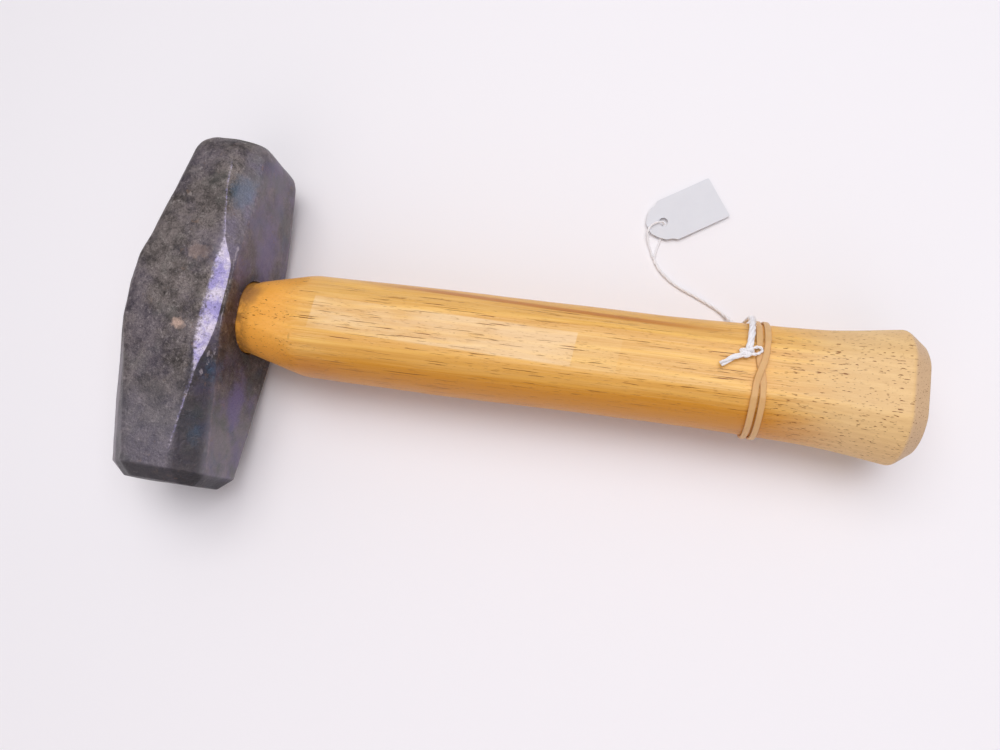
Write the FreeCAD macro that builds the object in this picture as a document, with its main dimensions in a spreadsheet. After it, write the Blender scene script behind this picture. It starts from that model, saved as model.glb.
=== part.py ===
# Lump hammer lying on its side: forged head, hickory handle, wedges, and a price tag tied to a rubber band.
# Frame: millimetres, +Z up from the surface it lies on, +X along the handle towards the butt, +Y along the head.
# The origin is on the lower cheek, under the point where the axes of head and handle cross.
import FreeCAD
import Part
import Sketcher
import math
import os

from FreeCAD import Vector

DRIVING = {
    # head
    "head_length": 127.0,
    "block_depth": 36.5,
    "block_width": 48.0,
    "face_bevel": 4.5,
    "face_corner_share": 0.45,
    # eye, given at its mouth on the handle side, and growing towards the other side
    "eye_length": 26.2,
    "eye_width": 23.0,
    "eye_flat": 8.0,
    "eye_taper": 0.03,
    "eye_overrun": 1.0,
    # handle
    "handle_reach": 246.0,
    "shoulder_reach": 42.0,
    "shoulder_width": 37.0,
    "shoulder_flat": 16.4,
    "grip_reach": 90.0,
    "grip_width": 37.4,
    "waist_reach": 192.0,
    "waist_width": 36.6,
    "flare_reach": 218.0,
    "flare_width": 38.2,
    "butt_reach": 240.5,
    "butt_width": 43.8,
    "butt_end_width": 35.0,
    "height_ratio": 0.87,
    "flat_ratio": 0.45,
    # wedges
    "wedge_length": 27.0,
    "wedge_head": 5.2,
    "wedge_tip": 1.0,
    "wedge_span": 25.0,
    "steel_wedge_length": 17.0,
    "steel_wedge_head": 2.8,
    "steel_wedge_tip": 0.4,
    "steel_wedge_width": 14.0,
    "steel_wedge_offset": 6.6,
    # rubber band, wound twice round the handle
    "band_reach": 196.8,
    "band_width": 2.1,
    "band_thickness": 1.0,
    "band_inner_width": 37.1,
    "band_tilt": 4.1,
    # price tag
    "tag_length": 29.2,
    "tag_width": 17.6,
    "tag_thickness": 0.4,
    "tag_tip": 6.2,
    "tag_tip_width": 6.0,
    "tag_neck_width": 12.6,
    "tag_shoulder": 1.6,
    "tag_corner": 2.0,
    "tag_hole": 3.4,
    "tag_lift": 1.15,
    "tag_tilt": 2.2,
    "tag_turn": 32.3,
    "tag_hole_along": 161.6,
    "tag_hole_across": 61.7,
    # string
    "string_diameter": 1.4,
    "strand_diameter": 0.8,
    "knot_length": 4.4,
    "knot_width": 3.8,
    "knot_height": 3.0,
    "knot_along": 191.7,
    "knot_across": 4.1,
}

# The forging's sections, from its far end to its near end. A section's corners go from the handle's side over the
# upper edge of the head to the cheek and on to the poll's side: the side's edge, the outer edge of the corner
# facet, its inner edge on the cheek, the cheek's other edge, the edge of the poll's side. The lower half is the
# same but for the corner under the handle, which keeps more of its cheek at the eye.
# The corner facet is wide at the eye and gone at the ends, where the chamfers are widest.
SECTION_SIZES = (
    "reach",
    "side",
    "side_rise",
    "facet",
    "facet_rise",
    "cheek",
    "cheek_rise",
    "poll_cheek",
    "poll",
    "poll_rise",
    "low_facet",
    "low_facet_rise",
    "low_cheek",
)
SECTIONS = {
    "far_bevel": (59.0, 17.8, 12.6, 6.9, 19.5, 6.6, 19.6, 6.9, 15.8, 9.0, 6.9, 19.5, 6.6),
    "far_ramp": (22.0, 18.2, 18.6, 13.6, 22.7, 13.3, 22.9, 13.5, 17.5, 18.6, 16.0, 21.4, 14.6),
    "far_block": (13.0, 18.25, 20.0, 17.1, 21.1, 10.6, 24.0, 16.3, 18.35, 21.6, 17.6, 22.3, 16.3),
    "middle": (2.0, 18.25, 20.0, 17.1, 21.1, 10.6, 24.0, 16.3, 18.95, 21.6, 17.6, 22.3, 16.3),
    "near_block": (-9.0, 18.25, 20.0, 17.1, 21.1, 10.6, 24.0, 16.3, 18.8, 20.6, 17.6, 22.3, 16.3),
    "near_ramp": (-25.0, 18.8, 17.3, 13.9, 22.4, 13.6, 22.6, 12.4, 18.4, 17.0, 15.8, 21.0, 14.4),
    "near_bevel": (-59.0, 20.0, 10.0, 9.3, 19.5, 9.0, 19.6, 6.9, 18.2, 7.5, 9.3, 19.5, 9.0),
}

# The string leaves its knot, goes over the far edge of the handle and down, and lies on the surface to the tag.
STRING_ROUTE = [
    (192.6, 5.4, 42.1),
    (193.0, 9.6, 44.0),
    (193.3, 14.4, 42.2),
    (193.5, 18.4, 38.2),
    (193.5, 21.1, 32.6),
    (193.2, 22.1, 26.0),
    (192.6, 22.2, 19.0),
    (191.9, 22.6, 12.0),
    (191.0, 23.8, 6.2),
    (189.4, 26.0, 2.3),
    (186.4, 28.6, 0.85),
    (179.6, 32.7, 0.8),
    (171.8, 35.8, 0.8),
    (166.0, 39.4, 0.8),
    (161.4, 43.4, 0.8),
    (159.6, 47.6, 0.8),
]

# The string's single strand goes on from there over the tag's tip, down its hole and back under the tag.
LOOP_ROUTE = [
    (159.2, 47.6, 0.8),
    (157.6, 51.4, 0.9),
    (156.2, 55.0, 1.6),
    (156.4, 58.4, 2.5),
    (158.6, 60.6, 2.9),
    (161.2, 61.6, 2.3),
    (162.2, 60.9, 0.75),
    (161.9, 58.0, 0.45),
    (161.2, 54.2, 0.5),
    (160.4, 50.8, 0.6),
    (160.0, 47.6, 0.8),
]

# The short end of the string lies on the handle's flat.
TAIL_ROUTE = [
    (190.2, 3.0, 41.8),
    (188.2, 2.1, 41.6),
    (186.2, 0.8, 41.5),
    (184.6, -0.6, 41.3),
]

TINY = 0.001
RADIUS_SHARE = 0.45

doc = FreeCAD.newDocument("LumpHammer")


def make_sheet():
    """The driving dimensions, one alias for each."""
    cells = doc.addObject("Spreadsheet::Sheet", "Sizes")
    driving = dict(DRIVING)
    for place, values in SECTIONS.items():
        driving.update({"%s_%s" % (place, name): value for name, value in zip(SECTION_SIZES, values)})
    for row, (alias, value) in enumerate(driving.items(), start=1):
        cells.set("A%d" % row, alias.replace("_", " "))
        cells.set("B%d" % row, str(value))
        cells.setAlias("B%d" % row, alias)
    doc.recompute()
    return cells


sheet = make_sheet()


def size(alias):
    """One driving dimension, for the routes and solids that are built in code."""
    return float(sheet.get(alias))


def new_body(label, height="Sizes.block_width / 2"):
    """A body for one sub-part. Its own axis is raised to the height of the handle's axis."""
    body = doc.addObject("PartDesign::Body", label)
    body.Label = label
    body.setExpression("Placement.Base.z", height)
    return body


def new_sketch(body, name, role, offset="0"):
    """An empty sketch on one of the body's own origin planes, moved along that plane's normal."""
    sketch = body.newObject("Sketcher::SketchObject", name)
    plane = [feature for feature in body.Origin.OriginFeatures if feature.Role == role][0]
    sketch.AttachmentSupport = [(plane, "")]
    sketch.MapMode = "FlatFace"
    sketch.setExpression("AttachmentOffset.Base.z", offset)
    return sketch


def bind(sketch, kind, elements, name, expression, start=1.0):
    """One named sketch constraint, driven by an expression on the sheet."""
    index = sketch.addConstraint(Sketcher.Constraint(kind, *elements, start))
    sketch.renameConstraint(index, name)
    sketch.setExpression("Constraints." + name, expression)


def join(sketch, first, second):
    """Makes the end of one edge the start of the next."""
    sketch.addConstraint(Sketcher.Constraint("Coincident", first, 2, second, 1))


def value_of(expression):
    """What an expression on the sheet comes to, for placing a sketch's edges before they are solved."""
    return float(doc.Sizes.evalExpression(expression.replace("Sizes.", "")))


def draw_polygon(sketch, corners):
    """A closed outline of straight edges whose corners are pairs of expressions."""
    points = [Vector(value_of(across), value_of(along), 0) for across, along in corners]
    count = len(points)
    for index in range(count):
        sketch.addGeometry(Part.LineSegment(points[index], points[(index + 1) % count]), False)
    for index in range(count):
        join(sketch, index, (index + 1) % count)
    for index, (across, along) in enumerate(corners):
        bind(sketch, "DistanceX", (-1, 1, index, 1), "across%d" % index, across, points[index].x)
        bind(sketch, "DistanceY", (-1, 1, index, 1), "along%d" % index, along, points[index].y)


def draw_oval(sketch, half_width, half_height, half_flat):
    """An oval with a flat at its top and bottom. Each side is one arc through the ends of the flats."""
    wide = value_of(half_width)
    high = value_of(half_height)
    flat = value_of(half_flat)
    radius = ((wide - flat) ** 2 + high**2) / (2 * (wide - flat))
    first = sketch.GeometryCount
    for side in (1, -1):
        start = Vector(side * flat, -side * high, 0)
        middle = Vector(side * wide, 0, 0)
        end = Vector(side * flat, side * high, 0)
        sketch.addGeometry(Part.Arc(start, middle, end), False)
        sketch.addGeometry(Part.LineSegment(end, Vector(-side * flat, side * high, 0)), False)
    for index in range(4):
        join(sketch, first + index, first + (index + 1) % 4)
    spread = "((%s) - (%s))" % (half_width, half_flat)
    rule = "(%s * %s + (%s) * (%s)) / (2 * %s)" % (spread, spread, half_height, half_height, spread)
    for side, arc in ((1, first), (-1, first + 2)):
        corner = (-1, 1, arc + 1, 1)
        bind(sketch, "DistanceX", corner, "flat%d" % arc, "(%d) * (%s)" % (side, half_flat), side * flat)
        bind(sketch, "DistanceY", corner, "high%d" % arc, "(%d) * (%s)" % (side, half_height), side * high)
        bind(sketch, "Radius", (arc,), "side%d" % arc, rule, radius)
        sketch.addConstraint(Sketcher.Constraint("Symmetric", arc + 1, 1, arc + 1, 2, -2))


def add_loft(body, name, sketches, ruled, kind="PartDesign::AdditiveLoft"):
    """A loft through sketches, with plane facets between them where it is ruled."""
    loft = body.newObject(kind, name)
    loft.Profile = (sketches[0], [""])
    loft.Sections = [(sketch, [""]) for sketch in sketches[1:]]
    loft.Ruled = ruled
    return loft


def add_slab(body, name, sketch, span, kind="PartDesign::Pad"):
    """A pad or pocket of one sketch, as long on one side of it as on the other."""
    slab = body.newObject(kind, name)
    slab.Profile = (sketch, [""])
    slab.Type = "Length"
    slab.Midplane = True
    slab.setExpression("Length", span)
    return slab


def head_corners(place, inset="0"):
    """The corners of the forging's section at one place, drawn in by an inset where a face is bevelled."""
    eased = "Sizes.face_corner_share * (%s)" % inset
    upper = [
        ("side", "side_rise", inset, eased),
        ("facet", "facet_rise", eased, inset),
        ("cheek", "cheek_rise", eased, inset),
        ("poll_cheek", "cheek_rise", eased, inset),
        ("poll", "poll_rise", inset, eased),
    ]
    lower = upper[::-1]
    lower[2] = ("low_cheek", "cheek_rise", eased, inset)
    lower[3] = ("low_facet", "low_facet_rise", eased, inset)
    corners = []
    for half, up in ((upper, ""), (lower, "-")):
        for turn, level, across, rise in half:
            along = "-" if turn.startswith("poll") else ""
            corners.append(
                (
                    "%s(Sizes.%s_%s - %s)" % (along, place, turn, across),
                    "%s(Sizes.%s_%s - %s)" % (up, place, level, rise),
                )
            )
    return corners


def eye_section(body, name, reach):
    """The oval eye at one place along the handle's axis. It widens away from its mouth."""
    growth = "Sizes.eye_taper * (Sizes.block_depth / 2 + Sizes.eye_overrun - (%s))" % reach
    sketch = new_sketch(body, name, "YZ_Plane", reach)
    draw_oval(
        sketch,
        "Sizes.eye_length / 2 + " + growth,
        "Sizes.eye_width / 2 + " + growth,
        "Sizes.eye_flat / 2 + " + growth,
    )
    return sketch


def handle_section(body, name, reach, width):
    """The handle's oval section, flattened at top and bottom, at one place along its axis."""
    sketch = new_sketch(body, name, "YZ_Plane", reach)
    half = "%s / 2" % width
    draw_oval(sketch, half, half + " * Sizes.height_ratio", half + " * Sizes.flat_ratio")
    return sketch


def wedge_sketch(body, name, role, length, thick_end, thin_end, offset="0"):
    """A wedge seen on edge. Its thick end is flush with the side of the head away from the handle."""
    start = "-Sizes.block_depth / 2"
    tip = "%s + %s" % (start, length)
    sketch = new_sketch(body, name, role)
    draw_polygon(
        sketch,
        [
            (start, "%s - %s / 2" % (offset, thick_end)),
            (tip, "%s - %s / 2" % (offset, thin_end)),
            (tip, "%s + %s / 2" % (offset, thin_end)),
            (start, "%s + %s / 2" % (offset, thick_end)),
        ],
    )
    return sketch


def steel_wedge_sketch(body, name, side):
    """One steel wedge seen on edge, to one side of the handle's axis."""
    offset = "(%d) * Sizes.steel_wedge_offset" % side
    sizes = ("Sizes.steel_wedge_length", "Sizes.steel_wedge_head", "Sizes.steel_wedge_tip")
    return wedge_sketch(body, name, "XY_Plane", *sizes, offset)


def cut_steel_wedge_slots(body):
    """The slots that the two steel wedges open across the wood."""
    for name, side in STEEL_WEDGES.items():
        sketch = steel_wedge_sketch(body, "slot_for_" + name, side)
        add_slab(body, "cut_for_" + name, sketch, "Sizes.steel_wedge_width", "PartDesign::Pocket")


STEEL_WEDGES = {"steel_wedge_left": 1, "steel_wedge_right": -1}


def make_head():
    """Forged head: square block at the eye, four long chamfers that widen towards the ends, bevelled faces."""
    body = new_body("head")
    corners = [(place, "-(Sizes.%s_reach)" % place, head_corners(place)) for place in SECTIONS]
    far_face = head_corners("far_bevel", "Sizes.face_bevel")
    near_face = head_corners("near_bevel", "Sizes.face_bevel")
    corners.insert(0, ("far_face", "-Sizes.head_length / 2", far_face))
    corners.append(("near_face", "Sizes.head_length / 2", near_face))
    sections = []
    for place, offset, outline in corners:
        sketch = new_sketch(body, place, "XZ_Plane", offset)
        draw_polygon(sketch, outline)
        sections.append(sketch)
    add_loft(body, "forging", sections, True)
    reach = "Sizes.block_depth / 2 + Sizes.eye_overrun"
    ends = [eye_section(body, "eye_mouth", reach), eye_section(body, "eye_back", "-(%s)" % reach)]
    add_loft(body, "eye", ends, True, "PartDesign::SubtractiveLoft")
    return body


def make_handle():
    """Hickory handle: tenon that fills the eye, sloped neck, oval grip that flares to the bevelled butt."""
    body = new_body("handle")
    mouth = "Sizes.block_depth / 2 + Sizes.eye_overrun"
    tenon_end = eye_section(body, "tenon_end", "-Sizes.block_depth / 2")
    tenon_root = eye_section(body, "tenon_root", mouth)
    shoulder = new_sketch(body, "shoulder", "YZ_Plane", "Sizes.shoulder_reach")
    half = "Sizes.shoulder_width / 2"
    draw_oval(shoulder, half, half + " * Sizes.height_ratio", "Sizes.shoulder_flat / 2")
    grip = [
        handle_section(body, place, "Sizes.%s_reach" % place, "Sizes.%s_width" % place)
        for place in ("grip", "waist", "flare", "butt")
    ]
    butt_end = handle_section(body, "butt_end", "Sizes.handle_reach", "Sizes.butt_end_width")
    add_loft(body, "tenon", [tenon_end, tenon_root], True)
    add_loft(body, "neck", [tenon_root, shoulder], True)
    add_loft(body, "grip_length", [shoulder] + grip, False)
    add_loft(body, "butt_bevel", [grip[-1], butt_end], True)
    sizes = ("Sizes.wedge_length", "Sizes.wedge_head", "Sizes.wedge_tip")
    kerf = wedge_sketch(body, "kerf_outline", "XZ_Plane", *sizes)
    add_slab(body, "kerf", kerf, "2 * Sizes.eye_length", "PartDesign::Pocket")
    cut_steel_wedge_slots(body)
    return body


def make_wooden_wedge():
    """Hardwood wedge that spreads the tenon in the eye."""
    body = new_body("wooden_wedge")
    sizes = ("Sizes.wedge_length", "Sizes.wedge_head", "Sizes.wedge_tip")
    outline = wedge_sketch(body, "wedge_outline", "XZ_Plane", *sizes)
    add_slab(body, "wedge", outline, "Sizes.wedge_span")
    cut_steel_wedge_slots(body)
    return body


def make_steel_wedge(label, side):
    """Steel wedge driven across the wooden one."""
    body = new_body(label)
    outline = steel_wedge_sketch(body, label + "_outline", side)
    add_slab(body, label + "_solid", outline, "Sizes.steel_wedge_width")
    return body


def make_rubber_band():
    """Rubber band wound twice round the handle, its two turns crossing over the handle's flat."""
    turns = []
    inner = "Sizes.band_inner_width / 2"
    inner_height = inner + " * Sizes.height_ratio"
    flat = inner + " * Sizes.flat_ratio"
    outward = " + Sizes.band_thickness"
    for name, side in (("band_turn_over", 1), ("band_turn_under", -1)):
        body = new_body(name)
        ring = new_sketch(body, name + "_ring", "YZ_Plane")
        draw_oval(ring, inner + outward, inner_height + outward, flat)
        draw_oval(ring, inner, inner_height, flat)
        add_slab(body, name + "_solid", ring, "Sizes.band_width")
        body.setExpression("Placement.Base.x", "Sizes.band_reach")
        body.setExpression("Placement.Rotation.Angle", "(%d) * Sizes.band_tilt" % -side)
        turns.append(body)
    band = doc.addObject("Part::Fuse", "rubber_band")
    band.Label = "rubber_band"
    band.Base = turns[0]
    band.Tool = turns[1]
    return band


def upright_edges(shape, places):
    """The names of the upright straight edges that stand at these distances along a card."""
    names = []
    for number, edge in enumerate(shape.Edges, start=1):
        upright = edge.BoundBox.XLength < TINY and edge.BoundBox.YLength < TINY
        if upright and min(abs(edge.CenterOfMass.x - place) for place in places) < TINY:
            names.append("Edge%d" % number)
    return names


def make_price_tag():
    """Card tag with a tapered, rounded tip round its hole, lifted at that end by the string under it."""
    body = new_body("price_tag", "Sizes.tag_lift")
    outline = new_sketch(body, "tag_outline", "XY_Plane")
    half = [
        ("Sizes.tag_length - Sizes.tag_tip", "Sizes.tag_width / 2"),
        ("Sizes.tag_shoulder", "Sizes.tag_width / 2"),
        ("-Sizes.tag_tip / 3", "Sizes.tag_neck_width / 2"),
        ("-Sizes.tag_tip", "Sizes.tag_tip_width / 2"),
    ]
    other_half = [(along, "-(%s)" % across) for along, across in reversed(half)]
    draw_polygon(outline, half + other_half)
    card = body.newObject("PartDesign::Pad", "card")
    card.Profile = (outline, [""])
    card.setExpression("Length", "Sizes.tag_thickness")
    punch = new_sketch(body, "hole_outline", "XY_Plane")
    punch.addGeometry(Part.Circle(Vector(0, 0, 0), Vector(0, 0, 1), size("tag_hole") / 2), False)
    punch.addConstraint(Sketcher.Constraint("Coincident", 0, 3, -1, 1))
    bind(punch, "Diameter", (0,), "hole", "Sizes.tag_hole", size("tag_hole"))
    punched = add_slab(body, "punched_card", punch, "4 * Sizes.tag_thickness", "PartDesign::Pocket")
    doc.recompute()
    far = size("tag_length") - size("tag_tip")
    rounded = body.newObject("PartDesign::Fillet", "rounded_corners")
    rounded.Base = (punched, upright_edges(punched.Shape, (far, -size("tag_tip"))))
    rounded.setExpression("Radius", "Sizes.tag_corner")
    turn = FreeCAD.Rotation(Vector(0, 0, 1), size("tag_turn"))
    tilt = FreeCAD.Rotation(Vector(0, 1, 0), size("tag_tilt"))
    body.Placement = FreeCAD.Placement(Vector(0, 0, size("tag_lift")), turn * tilt)
    body.setExpression("Placement.Base.x", "Sizes.tag_hole_along")
    body.setExpression("Placement.Base.y", "Sizes.tag_hole_across")
    return body


def round_corner(before, corner, after):
    """The arc that replaces one corner of a route: its radius, start, middle and end."""
    back = (before - corner).normalize()
    forth = (after - corner).normalize()
    half_turn = (math.pi - back.getAngle(forth)) / 2
    shorter = min((before - corner).Length, (after - corner).Length)
    trim = RADIUS_SHARE * shorter
    radius = trim / math.tan(half_turn)
    inward = (back + forth).normalize()
    middle = corner + inward * (radius / math.cos(half_turn) - radius)
    return radius, corner + back * trim, middle, corner + forth * trim


def make_tube(label, route, alias):
    """A tube of one diameter along straight runs joined by tangent arcs."""
    points = [Vector(*point) for point in route]
    edges = []
    radii = []
    last = points[0]
    for before, corner, after in zip(points, points[1:], points[2:]):
        radius, start, middle, end = round_corner(before, corner, after)
        edges.append(Part.makeLine(last, start))
        edges.append(Part.Arc(start, middle, end).toShape())
        radii.append(radius)
        last = end
    edges.append(Part.makeLine(last, points[-1]))
    path = Part.Wire(edges)
    radius = size(alias) / 2
    section = Part.Wire(Part.makeCircle(radius, points[0], points[1] - points[0]))
    solid = path.makePipeShell([section], True, False)
    expected = math.pi * radius**2 * path.Length
    shown = ", ".join("%.1f" % value for value in radii)
    print("%s: length %.1f, radii %s" % (label, path.Length, shown))
    print("%s: volume %.2f, section times length %.2f" % (label, solid.Volume, expected))
    tube = doc.addObject("Part::Feature", label)
    tube.Label = label
    tube.Shape = solid
    return tube


def make_string_knot():
    """The knot by which the string is tied to the rubber band, lying on the handle's flat."""
    knot = doc.addObject("Part::Ellipsoid", "string_knot")
    knot.Label = "string_knot"
    knot.setExpression("Radius1", "Sizes.knot_height / 2")
    knot.setExpression("Radius2", "Sizes.knot_length / 2")
    knot.setExpression("Radius3", "Sizes.knot_width / 2")
    flat_height = "Sizes.block_width / 2 + Sizes.waist_width / 2 * Sizes.height_ratio"
    knot.setExpression("Placement.Base.x", "Sizes.knot_along")
    knot.setExpression("Placement.Base.y", "Sizes.knot_across")
    knot.setExpression("Placement.Base.z", flat_height + " + Sizes.knot_height / 2")
    return knot


def check(parts):
    """Stops if any feature failed, or if a sub-part isn't one sound solid."""
    for feature in doc.Objects:
        if "Invalid" in feature.State or "Error" in feature.State:
            raise RuntimeError("%s failed: %s" % (feature.Name, feature.State))
    for part in parts:
        shape = part.Shape
        if shape.isNull() or not shape.isValid() or len(shape.Solids) != 1:
            raise RuntimeError("%s isn't one valid solid" % part.Label)


def main():
    parts = [make_head(), make_handle(), make_wooden_wedge()]
    for label, side in STEEL_WEDGES.items():
        parts.append(make_steel_wedge(label, side))
    parts.append(make_rubber_band())
    parts.append(make_price_tag())
    parts.append(make_tube("tag_string", STRING_ROUTE, "string_diameter"))
    parts.append(make_tube("string_loop", LOOP_ROUTE, "strand_diameter"))
    parts.append(make_tube("string_tail", TAIL_ROUTE, "string_diameter"))
    parts.append(make_string_knot())
    doc.recompute()
    check(parts)
    os.makedirs("parts", exist_ok=True)
    for part in parts:
        part.Shape.exportStep("parts/%s.step" % part.Label)
        print("%s: volume %.1f" % (part.Label, part.Shape.Volume))


main()
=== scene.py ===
"""Lump hammer lying on its side: forged head, hickory handle, rubber band, string and blank card tag.

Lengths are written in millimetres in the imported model's frame and become metres where a mesh is made.
+X runs along the handle towards its butt, +Y along the head, +Z up from the table.
"""

import math

import bmesh
import bpy
import numpy as np
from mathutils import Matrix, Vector, noise


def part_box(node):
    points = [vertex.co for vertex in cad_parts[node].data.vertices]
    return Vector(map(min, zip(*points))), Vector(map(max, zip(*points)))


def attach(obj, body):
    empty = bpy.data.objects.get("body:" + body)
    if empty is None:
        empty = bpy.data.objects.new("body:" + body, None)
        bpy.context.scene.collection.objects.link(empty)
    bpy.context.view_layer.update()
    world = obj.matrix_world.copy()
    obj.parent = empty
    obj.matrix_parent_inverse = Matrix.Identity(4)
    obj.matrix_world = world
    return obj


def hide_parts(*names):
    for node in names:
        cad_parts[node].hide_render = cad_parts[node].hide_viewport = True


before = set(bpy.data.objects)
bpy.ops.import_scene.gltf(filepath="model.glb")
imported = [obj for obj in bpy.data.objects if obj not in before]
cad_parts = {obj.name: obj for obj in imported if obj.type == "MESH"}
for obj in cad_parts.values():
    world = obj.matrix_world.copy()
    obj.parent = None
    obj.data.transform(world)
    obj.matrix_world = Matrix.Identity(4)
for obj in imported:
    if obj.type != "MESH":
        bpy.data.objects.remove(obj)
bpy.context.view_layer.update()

noise.seed_set(1)  # unseeded, noise_vector differs from run to run

MM = 0.001
UP = np.array([0.0, 0.0, 1.0])

# Camera, in millimetres and degrees
CAMERA_PLACE = (161.8, -61.5, 286.7)
CAMERA_TURNS = (12.56, 8.57, 9.26)
CAMERA_LENS = 28.38

# Lamps in watts, and the table in metres
WINDOW_POWER = 5.3
SIDE_POWER = 3.0
FILL_POWER = 4.6
TABLE_REACH = 3.0
TABLE_GAP = 0.00005


def millimetres(node):
    """The lowest and highest corner of a CAD node, in millimetres."""
    low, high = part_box(node)
    return np.array(low) / MM, np.array(high) / MM


HEAD_LOW, HEAD_HIGH = millimetres("head")
HANDLE_LOW, HANDLE_HIGH = millimetres("handle")
BAND_LOW, BAND_HIGH = millimetres("rubber_band")
KNOT_LOW, KNOT_HIGH = millimetres("string_knot")
AXIS_HEIGHT = (HEAD_LOW[2] + HEAD_HIGH[2]) / 2

HALF_LENGTH = HEAD_HIGH[1]
FACE_BEVEL = 4.5

# The forging's sections, from its near end to its far end: the reach along the head, then the corners from
# the handle's side over the top to the poll's side, each as its distance from the axis and its rise above
# it. The first is the side's edge, the next two are the corner facet's edges, the next two are the poll's.
# The last two take the place of the facet's edges on the lower half.
SECTION_REACH = (-59.0, -25.0, -17.0, -9.0, 2.0, 13.0, 22.0, 40.0, 59.0)
SECTION_CORNERS = (
    ((20.0, 10.0), (9.3, 19.5), (9.0, 19.6), (-6.9, 19.6), (-18.2, 7.5), (9.3, 19.5), (9.0, 19.6)),
    ((18.8, 17.3), (13.9, 22.4), (13.4, 22.6), (-12.4, 22.6), (-18.4, 17.0), (15.8, 21.0), (14.4, 22.6)),
    ((18.4, 18.9), (15.5, 21.7), (10.9, 23.5), (-14.4, 23.4), (-18.7, 19.0), (16.9, 21.9), (15.6, 23.5)),
    ((18.25, 20.0), (16.9, 21.1), (10.2, 24.0), (-16.3, 24.0), (-18.9, 20.6), (17.6, 22.3), (16.3, 24.0)),
    ((18.25, 20.0), (17.1, 21.1), (10.6, 24.0), (-16.5, 24.0), (-19.2, 21.4), (17.6, 22.3), (16.3, 24.0)),
    ((18.25, 20.0), (17.1, 21.1), (10.8, 24.0), (-16.2, 24.0), (-18.5, 21.6), (17.6, 22.3), (16.3, 24.0)),
    ((18.2, 18.6), (13.6, 22.7), (13.2, 22.9), (-13.5, 22.9), (-17.4, 18.6), (16.0, 21.4), (14.6, 22.9)),
    ((18.0, 15.8), (9.3, 21.2), (9.0, 21.3), (-10.2, 21.3), (-16.6, 13.8), (10.5, 20.9), (9.8, 21.3)),
    ((17.8, 12.6), (6.9, 19.5), (6.6, 19.6), (-6.9, 19.6), (-15.8, 9.0), (6.9, 19.5), (6.6, 19.6)),
)
EDGE_STEPS = (22, 14, 12, 34, 14, 26, 14, 34, 12, 14)

# Where the facet's wear and painted highlight end and over what length they fade, and the facet's width at
# full wear and highlight
WEAR_AND_HIGHLIGHT_END = 58.0
WEAR_AND_HIGHLIGHT_FADE = 8.0
FULL_WEAR_AND_HIGHLIGHT_WIDTH = 3.0

# Unevenness of the forging and of the handle: size, amount and seed
HEAD_WARPS = ((24.0, 0.42, 1), (8.0, 0.20, 2), (2.6, 0.06, 3))
HANDLE_WARPS = ((30.0, 0.22, 4), (9.0, 0.06, 5))

# Eye, and the tenon that fills it
EYE_MOUTH = 19.25
EYE_HALF_LENGTH = 13.1
EYE_HALF_WIDTH = 11.5
EYE_HALF_FLAT = 4.0
EYE_TAPER = 0.03

# Handle: reach along its axis and half width there
HEIGHT_RATIO = 0.87
FLAT_RATIO = 0.45
GRIP = [(42.0, 18.5), (90.0, 18.7), (192.0, 18.3), (218.0, 19.1), (240.5, 21.9)]
BUTT_END_HALF_WIDTH = 17.5
HANDLE_DRIFT = -0.5

# Wedges: length, thickness at the head and at the tip
KERF = (27.0, 5.2, 1.0)
STEEL_WEDGE = (17.0, 2.8, 0.4)
STEEL_WEDGE_OFFSET = 6.6
STEEL_WEDGE_HALF_WIDTH = 7.0

# Rubber band
BAND_REACH = (BAND_LOW[0] + BAND_HIGH[0]) / 2
BAND_HALF_WIDTH = 0.98
BAND_HALF_THICKNESS = 0.46
BAND_SPREAD = 1.32

# Card tag: it pivots on the string in its hole
TAG_HOLE = (161.6, 61.7, 1.15)
TAG_TURN = math.radians(32.3)
TAG_TILT = math.radians(2.2)
TAG_HOLE_RADIUS = 1.7
TAG_THICKNESS = 0.32
TAG_REACH = 23.0
TAG_HALF_WIDTH = 8.8
TAG_TIP = [(0.2, 7.5), (-1.8, 7.1), (-4.0, 5.2), (-6.1, 2.4)]
TAG_SIDE = [(TAG_REACH, TAG_HALF_WIDTH), (1.8, TAG_HALF_WIDTH), *TAG_TIP]

# String: the radius of its plies where it is thin, their distance from its middle, how much larger both are
# by the knot, and the length of one turn
PLY_RADIUS = 0.34
PLY_OFFSET = 0.26
PLUMP_GROWTH = 0.26
PLY_PITCH = 9.0
LOOP_RADIUS = 0.36
TAIL_FIBRES = 14
KNOT_FIBRES = 16
FIBRE_TURN = 2.4
FIBRE_SIDES = 5
FLAT_HEIGHT = AXIS_HEIGHT + 16.1
TABLE_CLEARANCE = 0.02

# The string from its knot over the handle's far edge to the tag, the single strand through the tag's hole,
# the string's short end, and its hitch round one turn of the band
STRING_ROUTE = [
    (192.6, 5.4, 41.4), (193.0, 9.6, 40.9), (193.3, 13.4, 38.6), (193.5, 16.6, 35.0),
    (193.5, 18.7, 31.0), (193.2, 19.8, 26.0), (192.6, 20.2, 19.0), (191.9, 21.0, 12.0),
    (190.9, 23.0, 6.2), (189.4, 26.0, 2.3), (186.4, 28.6, 0.85), (179.6, 32.7, 0.8),
    (171.8, 35.8, 0.8), (166.0, 39.4, 0.8), (161.4, 43.4, 0.8), (159.6, 47.6, 0.8),
]
LOOP_ROUTE = [
    (159.2, 47.6, 0.8), (157.6, 51.4, 0.9), (156.2, 55.0, 1.6), (156.4, 58.4, 2.5),
    (158.6, 60.6, 2.9), (161.2, 61.6, 2.3), (162.2, 60.9, 0.75), (161.9, 58.0, 0.45),
    (161.2, 54.2, 0.5), (160.4, 50.8, 0.6), (160.0, 47.6, 0.8),
]
TAIL_ROUTE = [
    (190.2, 3.0, 41.8), (188.2, 2.1, 41.6), (186.2, 0.8, 41.5), (184.6, -0.6, 41.3),
]
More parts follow.
